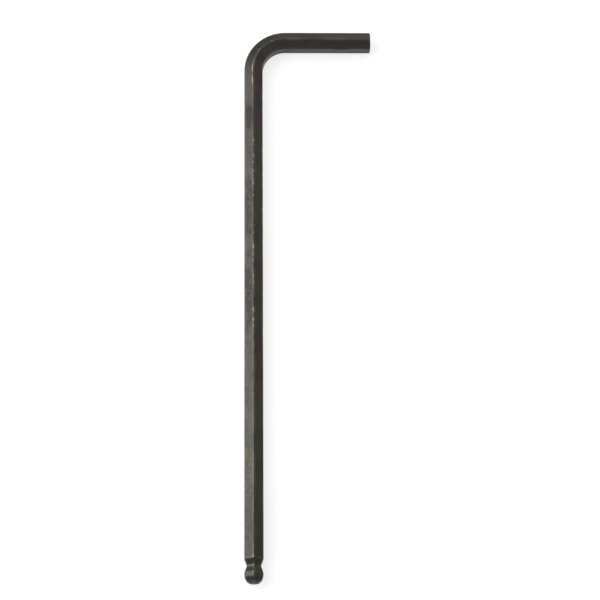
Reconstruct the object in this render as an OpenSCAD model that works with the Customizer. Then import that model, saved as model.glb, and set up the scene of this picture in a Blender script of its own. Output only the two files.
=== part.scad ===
// A ball-end hexagonal key: one length of hexagonal steel bar, bent once into an L.
// It lies flat on its lower corner edges, with the long arm along Y and the short arm along X.
// The long arm's free end is milled on its six flats into a neck and a ball.
// The short arm's free end is cut square, with a turned chamfer.
// Every length is in millimetres.

/* [Bar] */
// Width of the bar between two opposite flats, which is the size of screw that the key fits
across_flats = 5; // [3:0.5:8]
// Width over two opposite broken corners, as a share of the width over sharp ones
corner_share = 0.975; // [0.95:0.005:0.99]

/* [Arms] */
// Long arm, from the tip of the ball to the outer side of the short arm
long_arm = 154; // [110:1:230]
// Short arm, from its end face to the outer side of the long arm
short_arm = 34.8; // [28:0.2:60]
// Radius of the inner side of the bend, in widths across flats
bend_share = 1.26; // [0.8:0.02:1.6]

/* [Ball end] */
// Ball's width between two opposite curved faces, as a share of the width across flats
ball_share = 0.99; // [0.94:0.005:0.995]
// Distance from the tip to the ball's centre, as a share of the ball's radius
tip_share = 0.95; // [0.9:0.01:0.98]
// Neck's width between two opposite faces, as a share of the width across flats
neck_share = 0.75; // [0.7:0.002:0.8]
// Radius of the hollow milled into each face at the neck, in widths across flats
hollow_share = 0.26; // [0.2:0.01:0.5]
// Slope of the neck's two sides against the bar's axis, in degrees
neck_slope = 21; // [20:1:35]
// How far the broken ridges stand out of the milled faces, in widths across flats
ridge_share = 0.054; // [0.04:0.002:0.06]

/* [Square end] */
// Diameter of the end face inside the chamfer, as a share of the width across flats
end_face_share = 0.98; // [0.8:0.01:0.98]
// Slope of the chamfer against the bar's axis, in degrees
chamfer_slope = 60; // [25:1:75]

/* [Hidden] */
FINE = 96;
SIDES = 6;
HALF_SIDE = 180 / SIDES;

// Bar
flat_r = across_flats / 2;
sharp_r = flat_r / cos(HALF_SIDE);
corner_r = sharp_r * corner_share;

// Bend, about a centre that lies inside the elbow
bend_inner = across_flats * bend_share;
bend_axis = bend_inner + flat_r;
bend_outer = bend_inner + across_flats;
long_straight = long_arm - bend_outer;
short_straight = short_arm - bend_outer;

// Ball
ball_r = flat_r * ball_share;
ball_at = ball_r * tip_share;

// Neck, whose hollow runs into two slopes, one that grazes the ball and one that climbs to the bar
neck_r = flat_r * neck_share;
hollow_r = across_flats * hollow_share;
hollow_axis = neck_r + hollow_r;
graze_at = ball_at + ball_r / sin(neck_slope);
neck_at = graze_at - neck_r / tan(neck_slope) + hollow_r * tan(neck_slope / 2);

// Ridges between the milled faces are broken where they stand this far out of those faces
ridge = across_flats * ridge_share;

// Share by which curves overlap the lines that they graze, so that each crossing is clean
GRAZE = 1.003;

// Cutters and outlines run past the bar by this much
past = across_flats;

// Square end
end_face_r = flat_r * end_face_share;
chamfer_run = (corner_r - end_face_r) / tan(chamfer_slope);

// Bar's section, with its flats to the left and right and its corners above and below
module section() {
    intersection() {
        rotate(HALF_SIDE) circle(r = sharp_r, $fn = SIDES);
        circle(r = corner_r, $fn = FINE);
    }
}

// Right half of the ball end's outline, with the axis along +Y and the tip at 0
// The spread moves the whole outline outwards, square to itself
module half_outline(spread, top) {
    difference() {
        union() {
            intersection() {
                translate([0, ball_at]) circle(r = (ball_r + spread) * GRAZE, $fn = FINE);
                translate([0, -past]) square([past, top + past]);
            }
            polygon(concat([[0, ball_at]], slopes(spread), [[past, top], [0, top]]));
        }
        translate([hollow_axis, neck_at]) circle(r = (hollow_r - spread) * GRAZE, $fn = FINE);
    }
}

// Ends of the two slopes: where one leaves the ball, the hollow's two sides, and out past the bar
function slopes(spread) =
    let (
        reach = hollow_r - spread,
        start_r = (ball_r + spread) * cos(neck_slope),
        start_at = ball_at + (ball_r + spread) * sin(neck_slope),
        side_r = hollow_axis - reach * cos(neck_slope),
        side_run = reach * sin(neck_slope),
        climb = (past - side_r) / tan(neck_slope)
    )
    [
        [start_r, start_at],
        [side_r, neck_at - side_run],
        [side_r, neck_at + side_run],
        [past, neck_at + side_run + climb],
    ];

// Long arm, along +Z from the ball's tip, cut from the bar by a pass across each pair of flats
module ball_end_arm(length) {
    intersection() {
        linear_extrude(length) section();
        milling_pass(0, length + past);
        milling_pass(1, length + past);
        milling_pass(2, length + past);
        rotate_extrude($fn = FINE) half_outline(ridge, length + past);
    }
}

// What one pass leaves, for the pair of opposite flats with this number
module milling_pass(pair, top) {
    rotate([90, 0, pair * 2 * HALF_SIDE])
        translate([0, 0, -past]) linear_extrude(2 * past) {
            half_outline(0, top);
            mirror([1, 0]) half_outline(0, top);
        }
}

// Short arm, along +Z, with the chamfer turned on its end as a cone
module square_end_arm(length) {
    intersection() {
        linear_extrude(length) section();
        union() {
            cylinder(r = corner_r + past, h = length - chamfer_run, $fn = FINE);
            translate([0, 0, length - chamfer_run])
                cylinder(r1 = corner_r, r2 = end_face_r, h = chamfer_run, $fn = FINE);
        }
    }
}

module hex_key() {
    color([0.27, 0.26, 0.24])
    translate([-(short_arm - across_flats) / 2, -long_arm / 2, corner_r]) {
        // Long arm
        rotate([-90, 0, 0]) ball_end_arm(long_straight);
        // Bend
        translate([bend_axis, long_straight, 0])
            rotate([0, 0, 90]) rotate_extrude(angle = 90, $fn = FINE)
                translate([bend_axis, 0]) section();
        // Short arm
        translate([bend_axis, long_straight + bend_axis, 0])
            rotate([90, 0, 90]) square_end_arm(short_straight);
    }
}

hex_key();
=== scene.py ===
import math

import bpy
from mathutils import Matrix, Vector


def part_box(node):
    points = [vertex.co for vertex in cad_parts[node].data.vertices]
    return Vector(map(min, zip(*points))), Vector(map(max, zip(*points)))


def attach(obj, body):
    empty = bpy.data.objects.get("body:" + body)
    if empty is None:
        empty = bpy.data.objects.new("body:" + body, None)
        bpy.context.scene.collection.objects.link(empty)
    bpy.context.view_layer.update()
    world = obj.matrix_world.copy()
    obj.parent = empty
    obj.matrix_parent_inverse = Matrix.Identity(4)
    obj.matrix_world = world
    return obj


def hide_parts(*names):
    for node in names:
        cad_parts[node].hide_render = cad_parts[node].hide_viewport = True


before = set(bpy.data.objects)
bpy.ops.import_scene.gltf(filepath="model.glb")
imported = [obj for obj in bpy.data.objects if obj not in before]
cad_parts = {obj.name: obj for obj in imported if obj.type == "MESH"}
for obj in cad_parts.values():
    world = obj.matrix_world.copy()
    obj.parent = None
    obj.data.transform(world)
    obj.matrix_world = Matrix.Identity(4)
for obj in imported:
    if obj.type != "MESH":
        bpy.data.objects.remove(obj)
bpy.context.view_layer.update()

# Sizes, in metres. The frame gives the arms and the width over corners, the rest is the bar's own.
MM = 0.001
LOW, HIGH = (Vector(corner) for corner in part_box("hex_key"))
ACROSS_FLATS = 5 * MM
FLAT_R = ACROSS_FLATS / 2
CORNER_R = (HIGH.z - LOW.z) / 2
SIDES = 6
HALF_SIDE = math.pi / SIDES

# Bend
BEND_INNER = 1.26 * ACROSS_FLATS
BEND_R = BEND_INNER + FLAT_R

# Arms, whose axes meet at the elbow and end at the ball's tip and at the square end
AXIS_X = LOW.x + FLAT_R
AXIS_Y = HIGH.y - FLAT_R
AXIS_Z = LOW.z + CORNER_R
TIP_Y = LOW.y
LONG_STRAIGHT = AXIS_Y - BEND_R - TIP_Y
SHORT_STRAIGHT = HIGH.x - AXIS_X - BEND_R

# Distances from the tip along the bar, to the bend's far end and to the square end
BEND_END = LONG_STRAIGHT + BEND_R * math.pi / 2
WHOLE_LENGTH = BEND_END + SHORT_STRAIGHT

# Ball end
BALL_R = 0.99 * FLAT_R
BALL_AT = 0.95 * BALL_R
NECK_R = 0.75 * FLAT_R
HOLLOW_R = 0.26 * ACROSS_FLATS
NECK_SLOPE = math.radians(21)
RIDGE = 0.054 * ACROSS_FLATS
HOLLOW_AXIS = NECK_R + HOLLOW_R
NECK_AT = (
    BALL_AT
    + BALL_R / math.sin(NECK_SLOPE)
    - NECK_R / math.tan(NECK_SLOPE)
    + HOLLOW_R * math.tan(NECK_SLOPE / 2)
)

# Shoulder, where the neck's slope meets the bar's flats
SIDE_RUN = HOLLOW_R * math.sin(NECK_SLOPE)
SIDE_R = HOLLOW_AXIS - HOLLOW_R * math.cos(NECK_SLOPE)
SHOULDER_AT = NECK_AT + SIDE_RUN + (FLAT_R - SIDE_R) / math.tan(NECK_SLOPE)

# Square end
END_FACE_R = 0.98 * FLAT_R
CHAMFER_SLOPE = math.radians(60)

# Width over which each edge is rounded
EDGE = 0.05 * MM

# Steps between rings of points: round the ball's front, and then along each stretch of the bar
DOME_STEP = math.radians(3)
MILLED_STEP = 0.06 * MM
CHAMFER_STEP = 0.04 * MM
BEND_STEP = 0.25 * MM
STRAIGHT_STEP = 0.5 * MM

# How far the closest rings run past the neck, and back from the square end
PAST_NECK = 3 * MM
BEFORE_END = 1 * MM

# Sizes of the rings that fill an end, as shares of the ring around its rim
END_SHARES = [0.02, 0.25, 0.55, 0.8, 0.93, 0.985]

# Widths of the bands that wear, beside the ridges and beside the rims of the two ends
RIDGE_WEAR = 0.6 * MM
RIM_WEAR = 0.4 * MM

# Directions around a section, counted from a corner, close together where the corner is rounded
CORNER_STEPS = [math.radians(step) for step in (0, 1, 2, 3, 4, 5, 6.5, 9, 13, 19, 25)]


def smooth_min(a, b, width):
    """The lesser of two values, with the corner between them rounded over a width."""
    gap = max(width - abs(a - b), 0) / width
    return min(a, b) - gap * gap * width / 4


def milled(at, spread):
    """Distance of the milled ball end's outline from the axis, at a distance from the tip.

    The spread moves the whole outline outwards, square to itself.
    """
    ball_r = BALL_R + spread
    hollow_r = HOLLOW_R - spread
    leave_at = BALL_AT + ball_r * math.sin(NECK_SLOPE)
    side_run = hollow_r * math.sin(NECK_SLOPE)
    if at <= leave_at:
        return math.sqrt(max(ball_r**2 - (at - BALL_AT) ** 2, 0))
    if abs(at - NECK_AT) <= side_run:
        return HOLLOW_AXIS - math.sqrt(hollow_r**2 - (at - NECK_AT) ** 2)
    side_r = HOLLOW_AXIS - hollow_r * math.cos(NECK_SLOPE)
    return side_r + (abs(at - NECK_AT) - side_run) * math.tan(NECK_SLOPE)


def section_at(at):
    """How far from the axis the flats, corners and chamfer lie, at a distance from the tip."""
    flat = smooth_min(milled(at, 0), FLAT_R, EDGE)
    sharp = flat / math.cos(HALF_SIDE)
    broken = smooth_min(milled(at, RIDGE), CORNER_R, EDGE)
    corner = smooth_min(broken, sharp - EDGE / 4, EDGE)
    chamfer = END_FACE_R + (WHOLE_LENGTH - at) * math.tan(CHAMFER_SLOPE)
    return flat, corner, chamfer


def around():
    """Every direction around a section, with its angle to the nearest corner."""
    for corner in range(SIDES):
        middle = corner * 2 * HALF_SIDE
        yield from ((middle - step, step) for step in reversed(CORNER_STEPS[1:]))
        yield from ((middle + step, step) for step in CORNER_STEPS)
        yield middle + HALF_SIDE, HALF_SIDE


AROUND = list(around())


def reach(step, flat, corner, chamfer):
    """Distance from the axis to the surface, at an angle from the nearest corner."""
    sharp = flat / math.cos(HALF_SIDE)
    fillet = max((sharp - corner) / (1 / math.cos(HALF_SIDE) - 1), 0)
    middle = (flat - fillet) / math.cos(HALF_SIDE)
    touch = HALF_SIDE - math.atan2((flat - fillet) * math.tan(HALF_SIDE), flat)
    if step < touch:
        rest = max(fillet**2 - (middle * math.sin(step)) ** 2, 0)
        distance = middle * math.cos(step) + math.sqrt(rest)
    else:
        distance = flat / math.cos(HALF_SIDE - step)
    return smooth_min(distance, chamfer, EDGE)


def axis_at(at):
    """The axis's place and the way it runs, at a distance from the tip along the bar."""
    if at <= LONG_STRAIGHT:
        return Vector((AXIS_X, TIP_Y + at, AXIS_Z)), 0.0
    if at >= BEND_END:
        return Vector((AXIS_X + BEND_R + at - BEND_END, AXIS_Y, AXIS_Z)), math.pi / 2
    turn = (at - LONG_STRAIGHT) / BEND_R
    centre = Vector((AXIS_X + BEND_R, AXIS_Y - BEND_R, AXIS_Z))
    return centre + BEND_R * Vector((-math.cos(turn), math.sin(turn), 0)), turn


def spread_out(start, end, step):
    """Evenly spaced distances from start up to, but not including, end."""
    count = max(round((end - start) / step), 1)
    return [start + (end - start) * i / count for i in range(count)]


def stations():
    """Distances from the tip at which the bar has a ring of points."""
    dome = spread_out(math.acos(BALL_AT / BALL_R), math.pi / 2, DOME_STEP)
    milled_end = NECK_AT + PAST_NECK
    chamfer_start = WHOLE_LENGTH - BEFORE_END
    return (
        [BALL_AT - BALL_R * math.cos(angle) for angle in dome]
        + spread_out(BALL_AT, milled_end, MILLED_STEP)
        + spread_out(milled_end, LONG_STRAIGHT, STRAIGHT_STEP)
        + spread_out(LONG_STRAIGHT, BEND_END, BEND_STEP)
        + spread_out(BEND_END, chamfer_start, STRAIGHT_STEP)
        + spread_out(chamfer_start, WHOLE_LENGTH, CHAMFER_STEP)
        + [WHOLE_LENGTH]
    )


def closeness(distance, width):
    """1 on an edge, falling to 0 at a width away from it."""
    return max(1 - abs(distance) / width, 0)


def neighbours(first):
    """The numbers of each two neighbours in a ring, given by its first point's number."""
    count = len(AROUND)
    return [(first + i, first + (i + 1) % count) for i in range(count)]


def add_object(name, data):
    """A new object in the scene."""
    thing = bpy.data.objects.new(name, data)
    bpy.context.scene.collection.objects.link(thing)
    return thing


class Bar:
    """The key's mesh, with each point's place on the straight bar and its closeness to an edge."""

    def __init__(self):
        self.points, self.places, self.edges, self.faces = [], [], [], []

    def add_point(self, point, place, edge):
        """One point, with its place across, along and up on the straight bar."""
        self.points.append(point)
        self.places.append(place)
        self.edges.append(edge)

    def add_ring(self, at, share=1.0):
        """One ring of points around the bar, at a distance from the tip and shrunk to a share."""
        centre, turn = axis_at(at)
        section = section_at(at)
        across = Vector((math.cos(turn), -math.sin(turn), 0))
        rim = max(closeness(at - SHOULDER_AT, RIM_WEAR), closeness(at - WHOLE_LENGTH, RIM_WEAR))
        for angle, step in AROUND:
            distance = share * reach(step, *section)
            side, up = distance * math.sin(angle), distance * math.cos(angle)
            edge = share * max(closeness(distance * step, RIDGE_WEAR), rim)
            self.add_point(centre + side * across + Vector((0, 0, up)), (side, at, up), edge)

    def join_rings(self, first, second):
        """Quads between two rings, given by their first points' numbers."""
        for (a, b), (d, c) in zip(neighbours(first), neighbours(second)):
            self.faces.append((a, b, c, d))

    def close_end(self, first, at, at_tip):
        """Triangles from an end's middle to its ring, which face away from the bar."""
        middle = len(self.points)
        self.add_point(axis_at(at)[0], (0, at, 0), 0)
        for a, b in neighbours(first):
            self.faces.append((middle, b, a) if at_tip else (middle, a, b))

    def build(self, name):
        """Rings from the tip to the square end, with both ends closed towards their middles."""
        for share in END_SHARES:
            self.add_ring(0, share)
        for at in stations():
            self.add_ring(at)
        for share in reversed(END_SHARES):
            self.add_ring(WHOLE_LENGTH, share)
        starts = range(0, len(self.points), len(AROUND))
        for first, second in zip(starts, starts[1:]):
            self.join_rings(first, second)
        self.close_end(starts[0], 0, at_tip=True)
        self.close_end(starts[-1], WHOLE_LENGTH, at_tip=False)
        data = bpy.data.meshes.new(name)
        data.from_pydata(self.points, [], self.faces)
        place = data.attributes.new("place", "FLOAT_VECTOR", "POINT")
        place.data.foreach_set("vector", [value for point in self.places for value in point])
        data.attributes.new("edge", "FLOAT", "POINT").data.foreach_set("value", self.edges)
        data.shade_smooth()
        return add_object(name, data)


# Noise: a patch's size as a share of the noise's cell, and how strong its finer octaves are
PATCH_SHARE = 0.5
NOISE_ROUGHNESS = 0.55


class Nodes:
    """A node tree whose nodes are added and joined with short calls."""

    def __init__(self, tree):
        self.tree = tree

    def put(self, socket, value):
        """Join an output to a socket, or set the socket's own value."""
        if isinstance(value, bpy.types.NodeSocket):
            self.tree.links.new(value, socket)
        else:
            socket.default_value = value

    def add(self, kind, inputs, **settings):
        """A new node, with its inputs joined or set."""
        node = self.tree.nodes.new("ShaderNode" + kind)
        for name, value in settings.items():
            setattr(node, name, value)
        for name, value in inputs.items():
            self.put(node.inputs[name], value)
        return node

    def fold(self, operation, values):
        """One value from several, with the same operation on each in turn."""
        total, *others = values
        for value in others:
            total = self.add("Math", {0: total, 1: value}, operation=operation).outputs[0]
        return total

    def plus(self, *values):
        return self.fold("ADD", values)

    def minus(self, *values):
        return self.fold("SUBTRACT", values)

    def times(self, *values):
        return self.fold("MULTIPLY", values)

    def most(self, *values):
        return self.fold("MAXIMUM", values)

    def ease(self, value, start, end, low=0.0, high=1.0):
        """A smooth change from low to high, as a value goes from start to end."""
        inputs = {"Value": value, "From Min": start, "From Max": end, "To Min": low, "To Max": high}
        return self.add("MapRange", inputs, interpolation_type="SMOOTHSTEP").outputs[0]

    def between(self, value, start, end, soft):
        """1 between two values, easing to 0 outside them."""
        rise = self.ease(value, start - soft, start)
        return self.fold("MINIMUM", [rise, self.ease(value, end + soft, end)])

    def vector(self, operation, first, second):
        """A vector from two, part by part."""
        return self.add("VectorMath", {0: first, 1: second}, operation=operation).outputs[0]

    def noise(self, place, size, squeeze, detail, shift):
        """Smooth noise with patches of about a size, squeezed to longer ones where asked."""
        moved = self.vector("ADD", place, (shift, shift, shift))
        scaled = self.vector("MULTIPLY", moved, squeeze)
        fineness = {"Scale": PATCH_SHARE / size, "Detail": detail, "Roughness": NOISE_ROUGHNESS}
        return self.add("TexNoise", {"Vector": scaled, **fineness}).outputs["Fac"]

    def blend(self, amount, first, second):
        """The first colour where the amount is 0, and the second where it is 1."""
        return self.add("Mix", {0: amount, 6: first, 7: second}, data_type="RGBA").outputs[2]


# The oxide's own base colour, the colour of its dark places and of painted shade, and where it is
# rubbed thin
OXIDE = (0.0612, 0.0560, 0.0512, 1)
DARK = (0.0380, 0.0345, 0.0320, 1)
THIN = (0.115, 0.103, 0.090, 1)

# Layers over the oxide, in the order that they are painted: base colour and strength
LAYERS = {
    "brown": ((0.0675, 0.0568, 0.0520, 1), 1.0),
    # Umber, on the right side only: painted shade tint
    "umber": ((0.0630, 0.0495, 0.0430, 1), 1.0),
    # Olive: random patches, and a painted tint of the lit left side and of the ball's highlight
    "olive": ((0.0560, 0.0580, 0.0470, 1), 1.0),
    # Dark: random patches, and painted shade in the bend and on the elbow's left side
    "dark": (DARK, 0.8),
    "dulled": ((0.0340, 0.0335, 0.0275, 1), 0.9),
    "rusty": ((0.0580, 0.0440, 0.0380, 1), 0.7),
    "grain": (THIN, 0.2),
    "flecks": (THIN, 0.24),
    "specks": (DARK, 0.36),
    "rubbed": (THIN, 0.8),
    "bare": ((0.30, 0.28, 0.26, 1), 1.0),
}

# Patterns: a patch's size, its squeeze across, along and up, the detail, and a shift of its own
PATTERNS = {
    "broad": (5 * MM, (1, 0.45, 1), 2.0, 0.013),
    "tone": (1.6 * MM, (1, 0.6, 1), 3.0, 0.31),
    "grain": (0.22 * MM, (1, 0.7, 1), 1.0, 0.7),
    "flecks": (0.45 * MM, (1, 0.8, 1), 3.0, 0.23),
    "rubbed": (0.8 * MM, (1, 0.25, 1), 3.0, 0.9),
    "ragged": (0.25 * MM, (1, 0.3, 1), 2.0, 0.2),
    "nicks": (0.4 * MM, (1, 0.5, 1), 1.0, 0.57),
    "drawn_lines": (0.09 * MM, (1, 0.015, 1), 1.0, 0.5),
    "cutter_lines": (0.05 * MM, (0.05, 1, 0.05), 1.0, 0.4),
}

# Smooth changes: the values where each starts and ends, and the amounts there if not 0 and 1
CHANGES = {
    # With the distance to the left or right of the bar's middle
    "left": (-0.2 * MM, -0.8 * MM),
    "right": (0.2 * MM, 0.8 * MM),
    # With the distance from the tip
    "rough_tip": (1.6 * MM, 0.5 * MM, 0.0, 0.2),
    "milled": (SHOULDER_AT + EDGE, SHOULDER_AT - EDGE),
    # Olive all over the left near the ball: painted highlight colour
    "ball_highlight_olive": (14 * MM, 9 * MM, 0.0, 0.7),
    "patchy": (40 * MM, 80 * MM, 0.7, 1.0),
    "flecked": (125 * MM, 110 * MM),
    # Umber, the painted shade tint on the right side, strongest towards the tip
    "umber": (130 * MM, 60 * MM, 0.3, 0.8),
    # With noise
    "brown": (0.40, 0.62),
    "olive": (-0.08, 0.06),
    "dark": (0.52, 0.36),
    "uneven": (0.35, 0.65, -0.4, 0.4),
    "grain": (0.50, 0.72),
    "flecks": (0.48, 0.68),
    "specks": (0.50, 0.34),
    "rubbed": (0.36, 0.62),
    "ragged": (0.30, 0.55, 0.25, 1.0),
    "nicks": (0.55, 0.66),
    "rough": (0.36, 0.64, 0.34, 0.46),
    "rough_grain": (0.3, 0.7, -0.03, 0.03),
    # With another amount
    "dull_places": (0.0, 0.3),
    "dull_places_olive": (0.0, 0.6, 0.1, 0.9),
    # Olive on the left: more on the lit side, a painted tint of the light
    "lit_side_olive": (0.0, 1.0, 0.3, 0.85),
    "dulled": (0.15, 0.75),
    "ridge": (0.55, 0.85),
}

# Spans along the bar: where each starts and ends, and how far it fades out beyond them
SPANS = {
    "nicked": (60 * MM, 140 * MM, 8 * MM),
    "bend": (LONG_STRAIGHT, BEND_END, 3 * MM),
    "elbow": (LONG_STRAIGHT + 2 * MM, BEND_END - 4 * MM, 5 * MM),
}

# Strengths of the dark on the straight bar, of the painted shade on the elbow's left side, and of a
# nick
STRAIGHT_DARK = 0.5
ELBOW_SHADE = 0.75
NICK = 0.6

# Scuffs down to bare steel: place across, along and up on the straight bar, and half sizes, in mm
SCUFFS = [
    ((-0.34, 139.4, 2.70), (0.12, 1.9, 0.3)),
    ((-0.36, 143.0, 2.70), (0.12, 1.8, 0.3)),
    ((0.34, 136.9, 2.66), (0.15, 0.20, 0.3)),
    ((-0.25, 152.8, 2.72), (0.16, 0.45, 0.3)),
    ((-2.05, 154.9, 1.70), (0.22, 0.22, 0.3)),
    ((-0.40, 148.4, 2.66), (0.14, 0.60, 0.3)),
    ((-0.15, 6.8, 2.78), (0.08, 0.35, 0.3)),
]

# Duller places on the flat beside the ridge: the same measures, in mm
DULL_PLACES = [
    ((-1.5, 128.9, 2.05), (1.8, 5.0, 2.0)),
    ((-1.5, 101.6, 2.05), (1.8, 11.0, 2.0)),
    ((-1.5, 90.0, 3.40), (1.8, 5.0, 2.0)),
    ((-1.5, 78.0, 2.05), (1.8, 11.5, 2.0)),
]

# Browner places beside the ridge near the bend: the same measures, in mm
RUSTY = [
    ((0.30, 139.5, 2.64), (0.20, 6.0, 0.5)),
    ((0.70, 146.0, 2.41), (0.60, 5.0, 0.8)),
]

# A mark is whole within its core and gone beyond its rim, both in half sizes from its middle
MARK_CORE = 0.2
DULL_PLACES_CORE = 0.3
MARK_RIM = 1.2

# How much smoother the scuffs and the milled end are, and the fine relief's heights, in metres
SMOOTHER = 0.06
LINE_HEIGHT = 2.5e-6
GRAIN_HEIGHT = 4e-6


class BlackOxide(Nodes):
    """Black oxide over drawn steel, mottled, with its edges rubbed thin and a few scuffs."""

    def __init__(self, name):
        self.material = bpy.data.materials.new(name)
        self.material.use_nodes = True
        super().__init__(self.material.node_tree)
        self.place = self.add("Attribute", {}, attribute_name="place").outputs["Vector"]
        self.edge = self.add("Attribute", {}, attribute_name="edge").outputs["Fac"]
        axes = self.add("SeparateXYZ", {0: self.place}).outputs
        self.along = axes["Y"]
        self.left = self.change("left", axes["X"])
        self.right = self.change("right", axes["X"])
        self.milled = self.change("milled", self.along)
        self.broad, self.grain = self.pattern("broad"), self.pattern("grain")
        self.colour = OXIDE

    def pattern(self, name):
        """The noise pattern of this name."""
        return self.noise(self.place, *PATTERNS[name])

    def change(self, name, value):
        """The smooth change of this name, with a value."""
        return self.ease(value, *CHANGES[name])

    def span(self, name):
        """1 within the span of this name, 0 outside it."""
        return self.between(self.along, *SPANS[name])

    def marked(self, marks, core):
        """1 in the middle of each mark, falling to 0 at its rim."""
        amounts = []
        for middle, size in marks:
            away = self.vector("SUBTRACT", self.place, [value * MM for value in middle])
            scaled = self.vector("MULTIPLY", away, [1 / (value * MM) for value in size])
            far = self.add("VectorMath", {0: scaled}, operation="LENGTH").outputs["Value"]
            amounts.append(self.ease(far, MARK_RIM, core))
        return self.most(*amounts)

    def paint(self, name, *amounts):
        """The layer of this name over what is there, as strong as the amounts' product."""
        colour, strength = LAYERS[name]
        self.colour = self.blend(self.times(*amounts, strength), self.colour, colour)

    def mottle(self):
        """Patches of colour: painted light, greener on the lit left and at the ball; painted shade,
        browner on the right and darker in the bend; random patches; and duller places on the left.
        """
        tone = self.pattern("tone")
        patchy = self.change("patchy", self.along)
        dull_places = self.marked(DULL_PLACES, DULL_PLACES_CORE)
        self.paint("brown", self.change("brown", self.broad), patchy)
        # Umber over the right side, stronger towards the tip: painted shade tint of the shaded side
        self.paint("umber", self.right, self.change("umber", self.along))

        # Olive, in random patches that are stronger on the lit left side and in the dull places,
        # and all over the lit left side near the ball: a painted tint of the light and of the
        # highlight
        lit_side_olive = self.change("lit_side_olive", self.left)
        greenish = self.most(self.change("dull_places_olive", dull_places), lit_side_olive)
        patches = self.times(self.change("olive", self.minus(tone, self.broad)), greenish)
        ball_highlight_olive = self.times(self.left, self.change("ball_highlight_olive", self.along))
        self.paint("olive", self.most(patches, ball_highlight_olive))

        # Dark, in random patches, and painted shade: the patches strongest in the bend,
        # and all over the elbow's left side
        dark_and_bend_shade = self.most(self.span("bend"), self.times(patchy, STRAIGHT_DARK))
        patches = self.times(self.change("dark", tone), dark_and_bend_shade)
        elbow = self.times(self.left, self.span("elbow"), ELBOW_SHADE)
        self.paint("dark", self.most(patches, elbow))

        # Duller in the listed places, broken up by the tone
        uneven = self.plus(dull_places, self.change("uneven", tone))
        self.paint("dulled", self.change("dulled", uneven), self.change("dull_places", dull_places))
        self.paint("rusty", self.marked(RUSTY, MARK_CORE))

    def speckle(self):
        """Fine grain all over, with light flecks and dark specks on the long arm's left side."""
        self.paint("grain", self.change("grain", self.grain))
        flecks = self.pattern("flecks")
        flecked = self.times(self.left, self.change("flecked", self.along))
        self.paint("flecks", self.change("flecks", flecks), flecked)
        self.paint("specks", self.change("specks", flecks), flecked)

    def wear(self):
        """Oxide rubbed thin along edges, then scuffs and nicks. Gives how bare the steel is."""
        self.paint("rubbed", self.edge, self.change("rubbed", self.pattern("rubbed")))
        ragged = self.change("ragged", self.pattern("ragged"))
        scuffs = self.times(self.marked(SCUFFS, MARK_CORE), ragged)
        nicked = self.times(self.change("ridge", self.edge), self.span("nicked"))
        nicks = self.times(self.change("nicks", self.pattern("nicks")), nicked, NICK)
        bare = self.most(scuffs, nicks)
        self.paint("bare", bare)
        return bare

    def roughness(self, bare):
        """Roughness that follows the patches, lower where bare or milled, higher at the tip."""
        rough = self.plus(
            self.change("rough", self.broad),
            self.change("rough_grain", self.grain),
            self.change("rough_tip", self.along),
        )
        return self.minus(rough, self.times(self.most(bare, self.milled), SMOOTHER))

    def relief(self):
        """Drawing lines along the bar, the cutter's lines across the milled end, and grain."""
        drawn, cut = self.pattern("drawn_lines"), self.pattern("cutter_lines")
        lines = self.times(self.blend(self.milled, drawn, cut), LINE_HEIGHT)
        height = self.plus(lines, self.times(self.grain, GRAIN_HEIGHT))
        bump = self.add("Bump", {"Strength": 1.0, "Distance": 1.0, "Height": height})
        return bump.outputs["Normal"]

    def build(self):
        """The finished material."""
        self.mottle()
        self.speckle()
        bare = self.wear()
        inputs = self.tree.nodes["Principled BSDF"].inputs
        self.put(inputs["Base Color"], self.colour)
        self.put(inputs["Metallic"], 1.0)
        self.put(inputs["Roughness"], self.roughness(bare))
        self.put(inputs["Normal"], self.relief())
        return self.material


# Floor: how far it reaches, how white it shows by itself, and how much of the lights it gives back
FLOOR_REACH = 3.0
FLOOR_WHITE = 0.74
FLOOR_LIT = 0.34


def add_floor():
    """A white floor that shows white to the camera and in reflections, and keeps the shadow."""
    out = FLOOR_REACH
    data = bpy.data.meshes.new("floor")
    corners = [(-out, -out, 0), (out, -out, 0), (out, out, 0), (-out, out, 0)]
    data.from_pydata(corners, [], [(0, 1, 2, 3)])
    floor = add_object("floor", data)
    material = bpy.data.materials.new("floor_white")
    material.use_nodes = True
    material.node_tree.nodes.clear()
    nodes = Nodes(material.node_tree)
    path = nodes.add("LightPath", {}).outputs
    seen = nodes.most(*(path[f"Is {kind} Ray"] for kind in ("Camera", "Glossy", "Transmission")))
    strength = nodes.add("MapRange", {"Value": seen, "To Max": FLOOR_WHITE}).outputs["Result"]
    glow = nodes.add("Emission", {"Strength": strength})
    diffuse = nodes.add("BsdfDiffuse", {"Color": (FLOOR_LIT, FLOOR_LIT, FLOOR_LIT, 1)})
    both = nodes.add("AddShader", {0: diffuse.outputs[0], 1: glow.outputs[0]})
    nodes.add("OutputMaterial", {"Surface": both.outputs[0]})
    data.materials.append(material)


# Soft lights: place, the point that each faces, width, height, and brightness
LIGHTS = {
    "key_light": ((-0.665, 0.235, 0.665), (0.0, 0.235, 0.0), 1.11, 1.13, 2.6),
    "far_light": ((0.0, 0.5, 0.29), (0.0, 0.06, 0.0), 0.5, 0.3, 1.15),
    "right_light": ((0.5, 0.43, 0.42), (0.0, 0.32, 0.0), 0.7, 0.6, 0.42),
    "bend_light": ((0.42, -0.18, 0.42), (0.0, 0.06, 0.0), 0.35, 0.3, 0.5),
}

# Brightness of the plain light from all round
WORLD_LEVEL = 0.39


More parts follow.
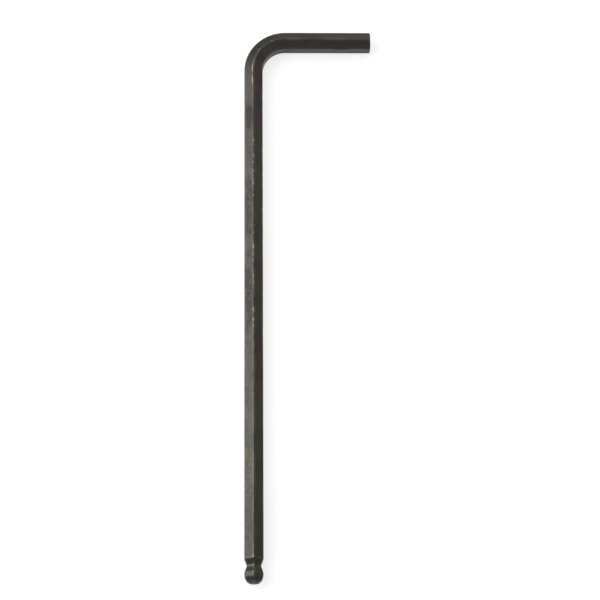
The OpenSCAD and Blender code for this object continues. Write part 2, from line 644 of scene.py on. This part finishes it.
def add_softbox(name, place, aim, width, height, brightness):
    """A soft rectangular light that faces a point, with the same brightness all over."""
    data = bpy.data.lights.new(name, "AREA")
    data.shape = "RECTANGLE"
    data.size = width
    data.size_y = height
    data.energy = brightness * math.pi * width * height
    light = add_object(name, data)
    light.location = place
    light.rotation_euler = (Vector(place) - Vector(aim)).to_track_quat("Z", "Y").to_euler()
    light.visible_camera = False


def add_world():
    """Plain light from all round, which the camera sees as white."""
    world = bpy.data.worlds.new("studio")
    bpy.context.scene.world = world
    world.use_nodes = True
    nodes = Nodes(world.node_tree)
    camera_ray = nodes.add("LightPath", {}).outputs["Is Camera Ray"]
    inputs = {"Value": camera_ray, "To Min": WORLD_LEVEL, "To Max": 1.0}
    background = world.node_tree.nodes["Background"].inputs
    nodes.put(background["Color"], (1, 1, 1, 1))
    nodes.put(background["Strength"], nodes.add("MapRange", inputs).outputs["Result"])


# Camera, fitted to the edges of the key in the photograph
PITCH = math.radians(17.53)
ASIDE = math.radians(1.307)
DISTANCE = 0.622
AIM_FROM_TIP = 0.07675
BESIDE_ARM = -0.0018
FOCAL_PX = 2324
IMAGE_PX = 600
SENSOR_MM = 36
CLIP_START = 0.01


def add_camera():
    """A camera above the long arm, tipped towards the bend."""
    data = bpy.data.cameras.new("camera")
    data.sensor_width = SENSOR_MM
    data.lens = FOCAL_PX / IMAGE_PX * SENSOR_MM
    data.clip_start = CLIP_START
    camera = add_object("camera", data)
    aim = Vector((AXIS_X + BESIDE_ARM, TIP_Y + AIM_FROM_TIP, AXIS_Z))
    camera.location = aim + DISTANCE * Vector((0, -math.sin(PITCH), math.cos(PITCH)))
    turn = Matrix.Rotation(PITCH, 3, "X") @ Matrix.Rotation(-ASIDE, 3, "Y")
    camera.rotation_euler = turn.to_euler()
    bpy.context.scene.camera = camera


key = Bar().build("hex_key_bar")
key.data.materials.append(BlackOxide("black_oxide_steel").build())
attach(key, "root")
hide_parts("hex_key")
add_floor()
for name, values in LIGHTS.items():
    add_softbox(name, *values)
add_world()
add_camera()
bpy.context.scene.view_settings.view_transform = "Standard"
